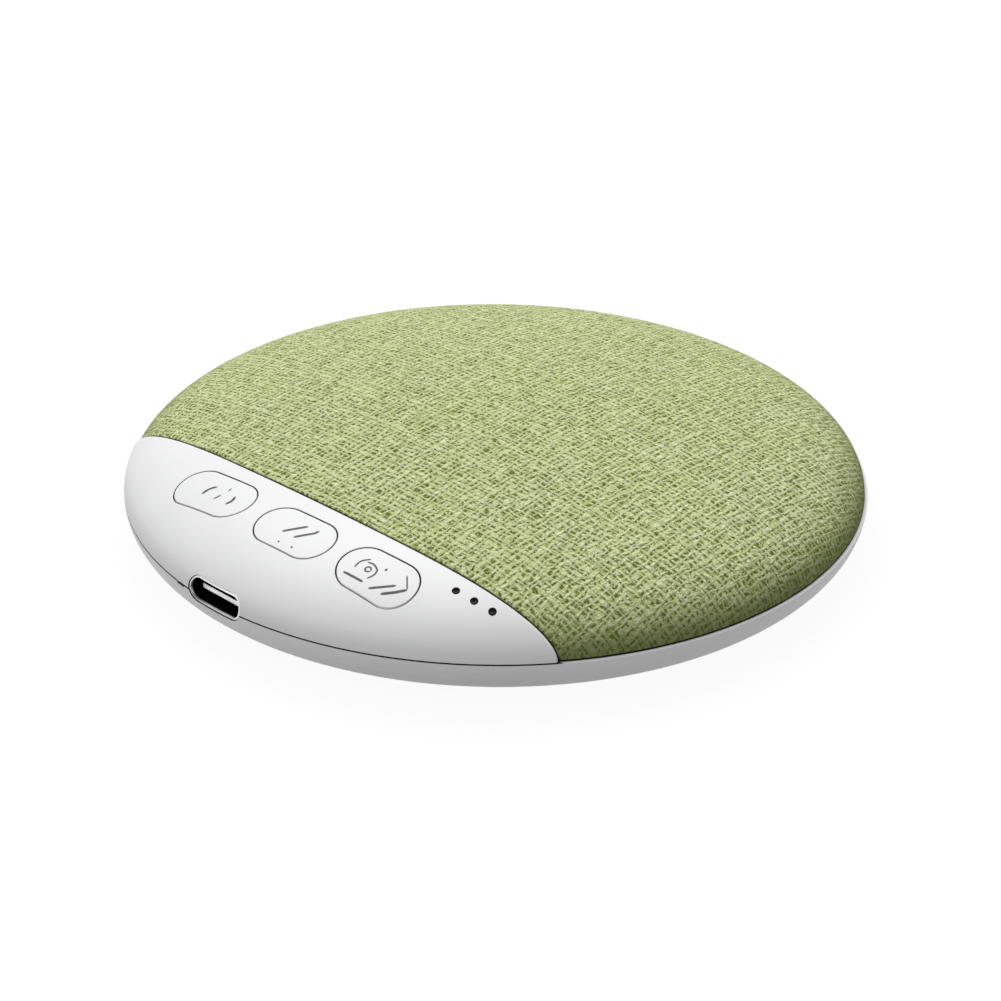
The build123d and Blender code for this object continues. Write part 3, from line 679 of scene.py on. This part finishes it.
def battery_pair(x, y):
    """The wire outside the bend lies nearer the case's side and nearer its back."""
    along_back = y.above(battery_high.y - wire_middle)
    along_side = (x * -1).above(-battery_low.x - wire_middle)
    return along_back.larger(along_side)


def speaker_pair(x, y):
    """The right-hand wire lies beyond the pair's middle line, given run by run."""
    ahead = speaker_high.y - y
    middle, start = speaker_low.x + wire_middle, 0.0
    for run, step in speaker_runs:
        middle = (ahead - start).larger(0.0).smaller(run) * (step / run) + middle
        start += run
    return (x - middle).above(0.0)


lead_cover("battery_lead", battery_pair).on("battery_leads")
lead_cover("speaker_lead", speaker_pair).on("speaker_leads")

# Speaker. A pressed basket in black paint, a nickel-plated magnet between zinc-plated pole
# pieces, a copper coil, a paper cone and cap, and a half roll of butyl rubber.
basket_black = (0.020, 0.020, 0.022)
basket_steel = (0.30, 0.30, 0.30)
copper_bright = (0.62, 0.27, 0.11)
copper_dark = (0.33, 0.12, 0.045)
wire_pitch = 0.22
paper_black = (0.020, 0.020, 0.020)
paper_fibre = (0.060, 0.058, 0.055)
butyl_black = (0.012, 0.012, 0.013)
butyl_bloom = (0.030, 0.030, 0.032)


def basket_paint():
    paint = Finish("basket_paint", Roughness=0.4, Coat_Weight=0.2)
    place = paint.place()
    peel = paint.noise(place, 1.6, 2.0)
    chip = paint.noise(place, 0.5, 4.0, 0.7).ease(0.70, 0.72)
    paint.feed("Base Color", paint.blend(chip, basket_black, basket_steel))
    paint.feed("Roughness", peel * 0.2 + 0.28)
    paint.bump(peel - chip * 0.3, 0.02 * mm, 0.6)
    return paint


def coil_wire():
    coil = Finish("enamelled_copper", Metallic=0.9, Roughness=0.3, Coat_Weight=0.4)
    place = coil.place()
    x, y, z = coil.along(place)
    turn = (z * (2 * math.pi / wire_pitch)).sine() * 0.5 + 0.5
    uneven = coil.noise(place, 1.1, 2.0)
    coil.feed("Base Color", coil.blend(turn * 0.8 + uneven * 0.2, copper_dark, copper_bright))
    coil.feed("Roughness", uneven * 0.2 + 0.22)
    coil.bump(turn, 0.06 * mm, 0.9)
    return coil


def pressed_paper():
    paper = Finish("pressed_paper", Roughness=0.85)
    place = paper.place()
    fibre = paper.noise(place, (5.0, 1.1, 2.0), 4.0, 0.7)
    cross = paper.noise(place, (1.1, 5.0, 2.0), 4.0, 0.7)
    felt = fibre.larger(cross)
    paper.feed("Base Color", paper.blend(felt.ease(0.5, 0.8), paper_black, paper_fibre))
    paper.feed("Roughness", felt * 0.2 + 0.7)
    paper.bump(felt, 0.05 * mm, 0.8)
    return paper


def butyl():
    rubber = Finish("butyl_rubber", Roughness=0.5)
    place = rubber.place()
    bloom = rubber.noise(place, 0.8, 3.0)
    rubber.feed("Base Color", rubber.blend(bloom.ease(0.4, 0.8), butyl_black, butyl_bloom))
    rubber.feed("Roughness", bloom * 0.3 + 0.35)
    rubber.bump(bloom, 0.02 * mm, 0.5)
    return rubber


basket_paint().on("speaker_frame")
plated("bright_nickel", (0.66, 0.65, 0.62), (0.52, 0.51, 0.49), 0.20).on("speaker_magnet")
pole_plating = plated("pole_plating", (0.60, 0.60, 0.58), (0.46, 0.45, 0.40), 0.32)
pole_plating.on("speaker_yoke", "speaker_top_plate")
coil_wire().on("voice_coil")
pressed_paper().on("speaker_cone", "dust_cap")
butyl().on("speaker_surround")


# Dust screen. A disc punched from black polyester non-woven, thin enough for the sound to pass.
# It lies on a ledge in the top housing, over the speaker.
felt_black = (0.012, 0.012, 0.012)
felt_grey = (0.055, 0.055, 0.055)


def non_woven():
    felt = Finish("black_non_woven", Roughness=0.95, Specular_IOR_Level=0.2)
    place = felt.place()
    across = felt.noise(place, (6.0, 1.0, 1.0), 3.0, 0.7)
    along = felt.noise(place, (1.0, 6.0, 1.0), 3.0, 0.7)
    strands = across.larger(along)
    felt.feed("Base Color", felt.blend(strands.ease(0.5, 0.75), felt_black, felt_grey))
    felt.bump(strands, 0.08 * mm, 0.9)
    return felt


non_woven().on("speaker_mesh")

# Grille carrier. A perforated dome moulded in black ABS and bonded to the top housing's recessed
# shelf. The cloth is stretched over it and glued behind its rim.
moulded("black_carrier", (0.026, 0.027, 0.024), (0.040, 0.041, 0.037), 0.6).on("grille_carrier")

# Keys. Three separate caps in the panel's own satin white, flush with it and free in their
# openings; each carries a thin grey pad-printed sign, whose strokes are given from its middle.
key_names = ("power", "play", "timer")
key_plastic, key_white = moulded_white("key_white")
key_plastic.feed("Base Color", key_white)
key_plastic.on(*[name + "_button" for name in key_names])
print_width = 0.32
print_lift = 0.012 * mm
ink_grey = (0.028, 0.027, 0.028)
ink_worn = (0.085, 0.082, 0.084)
stroke_step = 0.12
stroke_tip = 0.45
stroke_taper = 0.25
smoothings = 6
circle_steps = 20
probe_height = 50 * mm


def ring_of(centre, radius):
    """Points round a small circle, back to its start."""
    turns = [2 * math.pi * i / circle_steps for i in range(circle_steps + 1)]
    return [(centre[0] + radius * math.cos(t), centre[1] + radius * math.sin(t)) for t in turns]


signs = {
    "power": [
        ([(-0.65, 0.90), (-1.20, 0.35), (-1.42, -0.25), (-1.42, -0.90)], 1.15),
        ([(1.28, 1.48), (1.38, 0.88)], 0.7),
        ([(1.12, -0.02), (0.98, -0.55), (0.80, -0.96)], 0.8),
        ([(3.05, 0.55), (3.34, -0.10), (3.30, -0.55), (3.06, -1.02)], 1.15),
    ],
    "play": [
        ([(0.67, 1.43), (-0.30, 0.35), (-1.36, -0.82)], 1.15),
        ([(2.31, 1.60), (2.31, 1.12), (1.45, 0.15), (0.60, -0.81)], 1.15),
        ([(-0.50, -2.28), (-0.28, -2.20)], 1.2),
        ([(1.53, -2.10), (1.77, -2.04)], 1.2),
    ],
    "timer": [
        ([(-3.00, -0.95), (-3.12, -0.35), (-3.00, 0.28), (-2.30, 1.00)], 0.7),
        ([(-2.32, 0.46), (-1.50, 0.66), (-0.54, 0.28), (-0.30, -0.43), (-0.64, -1.32)], 0.7),
        (ring_of((-1.50, -0.29), 0.40), 0.7),
        ([(0.18, 1.07), (0.25, 0.68)], 1.3),
        ([(-3.57, -2.15), (-2.20, -2.02), (-0.71, -1.90)], 0.95),
        ([(2.70, -0.06), (1.60, -1.10), (0.43, -2.15)], 0.95),
        ([(2.68, 1.71), (3.40, 1.00), (4.10, 0.28)], 0.55),
        ([(4.10, 0.28), (3.20, -0.80), (2.07, -1.86)], 1.10),
    ],
}
sign_middles = {"power": (-11.15, -37.68), "play": (3.40, -37.89), "timer": (16.50, -37.14)}


def smooth_stroke(points):
    """Evenly spaced points along a curve through the given ones."""
    points = np.array(points)
    reach = np.concatenate([[0], np.cumsum(np.linalg.norm(np.diff(points, axis=0), axis=1))])
    wanted = np.linspace(0, reach[-1], max(4, int(reach[-1] / stroke_step) + 1))
    fine = np.stack([np.interp(wanted, reach, points[:, axis]) for axis in (0, 1)], 1)
    for _ in range(smoothings if len(points) > 2 else 0):
        fine[1:-1] = (fine[:-2] + 2 * fine[1:-1] + fine[2:]) / 4
    return fine


def print_sign(name, ink):
    """Lays thin ribbons of ink on a key's crown, along the sign's strokes."""
    cap = nodes[name + "_button"].data
    crown = BVHTree.FromPolygons([v.co for v in cap.vertices], [p.vertices for p in cap.polygons])
    corners, faces = [], []
    for stroke, weight in signs[name]:
        track = (smooth_stroke(stroke) + np.array(sign_middles[name])) * mm
        ahead = np.gradient(track, axis=0)
        ahead /= np.linalg.norm(ahead, axis=1)[:, None]
        across = np.stack([-ahead[:, 1], ahead[:, 0]], 1) * print_width * mm * weight / 2
        from_end = np.minimum(np.arange(len(track)), np.arange(len(track))[::-1])
        taper = np.minimum(1.0, from_end * stroke_taper + stroke_tip)
        first = len(corners)
        for spot, side in zip(track, across * taper[:, None]):
            for edge in (spot + side, spot - side):
                hit = crown.ray_cast(Vector((*edge, probe_height)), Vector((0, 0, -1)))
                corners.append(hit[0] + Vector((0, 0, print_lift)))
        for i in range(first, first + 2 * (len(track) - 1), 2):
            faces.append((i + 1, i + 3, i + 2, i))
    mesh = bpy.data.meshes.new(name + "_sign")
    mesh.from_pydata(corners, [], faces)
    sign = bpy.data.objects.new(name + "_sign", mesh)
    bpy.context.scene.collection.objects.link(sign)
    mesh.materials.append(ink.material)
    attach(sign, name + "_key")


def pad_ink():
    ink = Finish("grey_pad_ink", Roughness=0.55)
    wear = ink.noise(ink.place(), 5.0, 3.0)
    ink.feed("Base Color", ink.blend(wear.ease(0.45, 0.8), ink_grey, ink_worn))
    ink.feed("Roughness", wear * 0.2 + 0.45)
    return ink


grey_ink = pad_ink()
for key_name in key_names:
    print_sign(key_name, grey_ink)

# Cloth cover. Slubby linen-look plain weave in yellow-green, cut round, stretched over the
# carrier and glued behind its rim; along the panel its edge is turned down into the gap.
cover_low, cover_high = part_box("fabric_cover")
cover_radius = cover_high.x
shoulder_run = 20.6 * mm
shoulder_rise = 7.9 * mm
crown_slope = math.radians(9.5)
turned_radius = 0.28 * mm
turned_depth = 1.5 * mm
tucked_in = 0.5 * mm
cover_middle = (0.0, 6.0 * mm)
rim_steps = 300
edge_steps = 130
rim_ring_step = 0.012 * mm
rim_rings = 14
crown_rings = 84
warp_pitch = 0.83
weft_pitch = 0.79
thread_wander = 2.3
thread_round = 2.1
thread_level = 0.74
thread_over = 0.28
slub_swell = 2.2
slub_least = -0.10
lean_share = 0.5
lean_least = 0.77
fuzz_height = 1.35
weave_depth = 0.34 * mm
# Thread colours from the gaps to the crests; the darkest and the palest carry painted shade and
# painted highlight.
thread_pale = (0.95, 1.00, 0.62)
thread_light = (0.81, 0.89, 0.45)
thread_warm = (0.83, 0.88, 0.49)
thread_mid = (0.52, 0.60, 0.235)
thread_dark = (0.125, 0.165, 0.026)
# Near-black colour of the painted shade along the cloth's turned edge and its hem.
hem_painted_shade = (0.020, 0.025, 0.008)
rim_shade = 0.75
rim_shade_from = 4.5

shoulder_start = cover_radius - shoulder_run
joint_turn = math.atan2(shoulder_rise, shoulder_run * math.tan(crown_slope))
joint_reach = shoulder_start + shoulder_run * math.cos(joint_turn)
joint_height = parting_line + shoulder_rise * math.sin(joint_turn)
crown_radius = joint_reach / math.sin(crown_slope)
crown_top = joint_height + joint_reach * math.tan(crown_slope / 2)


def cover_height(reach):
    """Height of the cloth at a distance from the case's axis."""
    share = np.clip((reach - shoulder_start) / shoulder_run, 0, 1)
    shoulder = parting_line + shoulder_rise * np.sqrt(1 - share ** 2)
    inner = np.minimum(reach, joint_reach)
    crown = crown_top - crown_radius + np.sqrt(crown_radius ** 2 - inner ** 2)
    return np.where(reach > joint_reach, shoulder, crown)


def corner_turn():
    """Angle, seen from the cover's middle, of the corner between rim and turned edge."""
    # Rim and edge meet where both circles have the same height along Y.
    y = (cover_radius ** 2 - edge_spread ** 2 + edge_centre ** 2) / (2 * edge_centre)
    x = math.sqrt(cover_radius ** 2 - y ** 2)
    return math.atan2(y - cover_middle[1], x)


def reach_to(turn, centre_y, radius):
    """Distance from the cover's middle to a circle about a point on the Y axis."""
    ahead = np.stack([np.cos(turn), np.sin(turn)])
    offset = cover_middle[1] - centre_y
    lean = ahead[1] * offset
    return -lean + np.sqrt(lean ** 2 - offset ** 2 + radius ** 2)


def make_cover():
    """Rings of the sheet from its tucked hem up to its middle, closed with a fan."""
    right = corner_turn()
    rim_turns = np.linspace(right, math.pi - right, rim_steps + 1)
    edge_turns = np.linspace(math.pi - right, 2 * math.pi + right, edge_steps + 1)[1:-1]
    turns = np.concatenate([rim_turns, edge_turns])
    lies_on_rim = np.arange(len(turns)) <= rim_steps
    reach = np.minimum(reach_to(turns, 0, cover_radius), reach_to(turns, edge_centre, edge_spread))
    ahead = np.stack([np.cos(turns), np.sin(turns)], 1)
    insets = [inset / reach for inset in rim_ring_step * np.arange(rim_rings) ** 2]
    inner = insets[-1]
    for i in range(1, crown_rings):
        insets.append(inner + (1 - inner) * i / crown_rings)
    rings = []
    for inset in insets:
        flat = np.array(cover_middle) + ahead * (reach * (1 - inset))[:, None]
        out = np.hypot(flat[:, 0], flat[:, 1])
        height = cover_height(np.minimum(out, cover_radius))
        within = edge_spread - np.hypot(flat[:, 0], flat[:, 1] - edge_centre)
        rolled = np.clip(turned_radius - within, 0, turned_radius)
        height = height - (turned_radius - np.sqrt(turned_radius ** 2 - rolled ** 2))
        height = np.maximum(height, cover_low.z)
        rings.append(np.column_stack([flat, height]))
    rim_ring = rings[0]
    hems = []
    for share in (0.5, 1.0):
        hem = rim_ring.copy()
        towards = -rim_ring[:, :2] / np.hypot(rim_ring[:, 0], rim_ring[:, 1])[:, None]
        hem[lies_on_rim, :2] += towards[lies_on_rim] * tucked_in * share
        hem[~lies_on_rim, 2] -= turned_depth * share
        hem[:, 2] = np.maximum(hem[:, 2], cover_low.z)
        hems.append(hem)
    rings = hems[::-1] + rings
    count = len(turns)
    corners = np.concatenate(rings)
    middle = len(corners)
    top_height = float(cover_height(np.array([cover_middle[1]]))[0])
    top = np.array([[*cover_middle, top_height]])
    corners = np.concatenate([corners, top])
    faces = []
    for ring in range(len(rings) - 1):
        for i in range(count):
            j = (i + 1) % count
            outer, inside = ring * count, (ring + 1) * count
            faces.append((outer + i, outer + j, inside + j, inside + i))
    last = (len(rings) - 1) * count
    faces += [(last + i, last + (i + 1) % count, middle) for i in range(count)]
    mesh = bpy.data.meshes.new("linen_cover")
    mesh.from_pydata(corners.tolist(), [], faces)
    mesh.shade_smooth()
    cover = bpy.data.objects.new("linen_cover", mesh)
    bpy.context.scene.collection.objects.link(cover)
    return cover


def threads_at(cloth, place):
    """Where a spot lies on the flat cloth: the cover's plan, spread by what its slope adds."""
    x, y, z = cloth.along(place)
    reach = np.linspace(0.5 * mm, cover_radius, 400)
    height = cover_height(reach)
    steps = np.hypot(np.diff(reach), np.diff(height))
    extra = (np.concatenate([[0], np.cumsum(steps)]) + reach[0] - reach) / mm
    drop = (crown_top - height) / mm
    cubic, square, linear, _ = np.polyfit(drop, extra, 3, w=1 / (1 + drop))
    fall = (crown_top / mm - z).larger(0.0)
    added = ((fall * float(cubic) + float(square)) * fall + float(linear)) * fall
    out = (x * x + y * y) ** 0.5
    spread = (out + added) / out.larger(0.5)
    return x * spread, y * spread


def linen():
    """Plain weave, in which slubby threads of both ways take turns on top."""
    cloth = Finish("linen_weave", Roughness=0.92, Specular_IOR_Level=0.15)
    place = cloth.place()
    across, along = threads_at(cloth, place)
    flat = cloth.node("ShaderNodeCombineXYZ", {}, {"X": across, "Y": along})
    warp_stray = (cloth.noise(flat, (1.1, 0.42, 1.0), 3.0) - 0.5) * thread_wander
    weft_stray = (cloth.noise(flat, (0.42, 1.1, 1.0), 3.0) - 0.5) * thread_wander
    warp_wave = ((across / warp_pitch + warp_stray) * math.pi).sine()
    weft_wave = ((along / weft_pitch + weft_stray) * math.pi).sine()
    warp_side = warp_wave.above(0.0) * 2 - 1
    weft_side = weft_wave.above(0.0) * 2 - 1
    warp_slub = cloth.noise(flat, (2.6, 0.9, 1.0), 3.0) * slub_swell + slub_least
    weft_slub = cloth.noise(flat, (0.9, 2.6, 1.0), 3.0) * slub_swell + slub_least
    lean = cloth.noise(flat, 0.5, 3.0).ease(0.34, 0.66) * lean_share
    warp_over = warp_side * weft_wave * thread_over + thread_level
    weft_over = thread_level - weft_side * warp_wave * thread_over
    warp_lean = lean + lean_least
    weft_lean = lean_least + lean_share - lean
    warp_high = warp_wave.size() ** thread_round * warp_over * warp_slub * warp_lean
    weft_high = weft_wave.size() ** thread_round * weft_over * weft_slub * weft_lean
    fuzz = cloth.noise(place, 3.8, 3.0, 0.65)
    height = warp_high.larger(weft_high) + (fuzz - 0.5) * fuzz_height
    patch = cloth.noise(place, 0.09, 2.0)
    light = cloth.blend(patch.ease(0.3, 0.7), thread_light, thread_warm)
    # Painted shade and highlight: the colour falls to near black in the low gaps between threads
    # and turns pale on the highest crests, on top of the bump.
    gap = cloth.blend(height.ease(0.0, 0.34), thread_dark, thread_mid)
    crest_painted_highlight = cloth.blend(height.ease(0.72, 1.15), light, thread_pale)
    colour = cloth.blend(height.ease(0.24, 0.74), gap, crest_painted_highlight)
    x, y, z = cloth.along(place)
    rim_height = cover_low.z / mm
    low = z.ease(crown_top / mm - rim_shade_from, rim_height)
    shaded = cloth.blend(low * rim_shade, colour, thread_dark)
    off_axis = y - edge_centre / mm
    within = edge_spread / mm - (x * x + off_axis * off_axis) ** 0.5
    # Painted shade: a dark line on the cloth along its turned edge by the panel and along its hem
    # at the base, where shade falls in the gaps.
    edge_painted_shade = within.ease(0.10, 0.0).larger(z.ease(rim_height + 0.08, rim_height))
    cloth.feed("Base Color", cloth.blend(edge_painted_shade * 0.92, shaded, hem_painted_shade))
    cloth.bump(height, weave_depth)
    return cloth


cover = make_cover()
cover.data.materials.append(linen().material)
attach(cover, "housing")
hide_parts("fabric_cover")
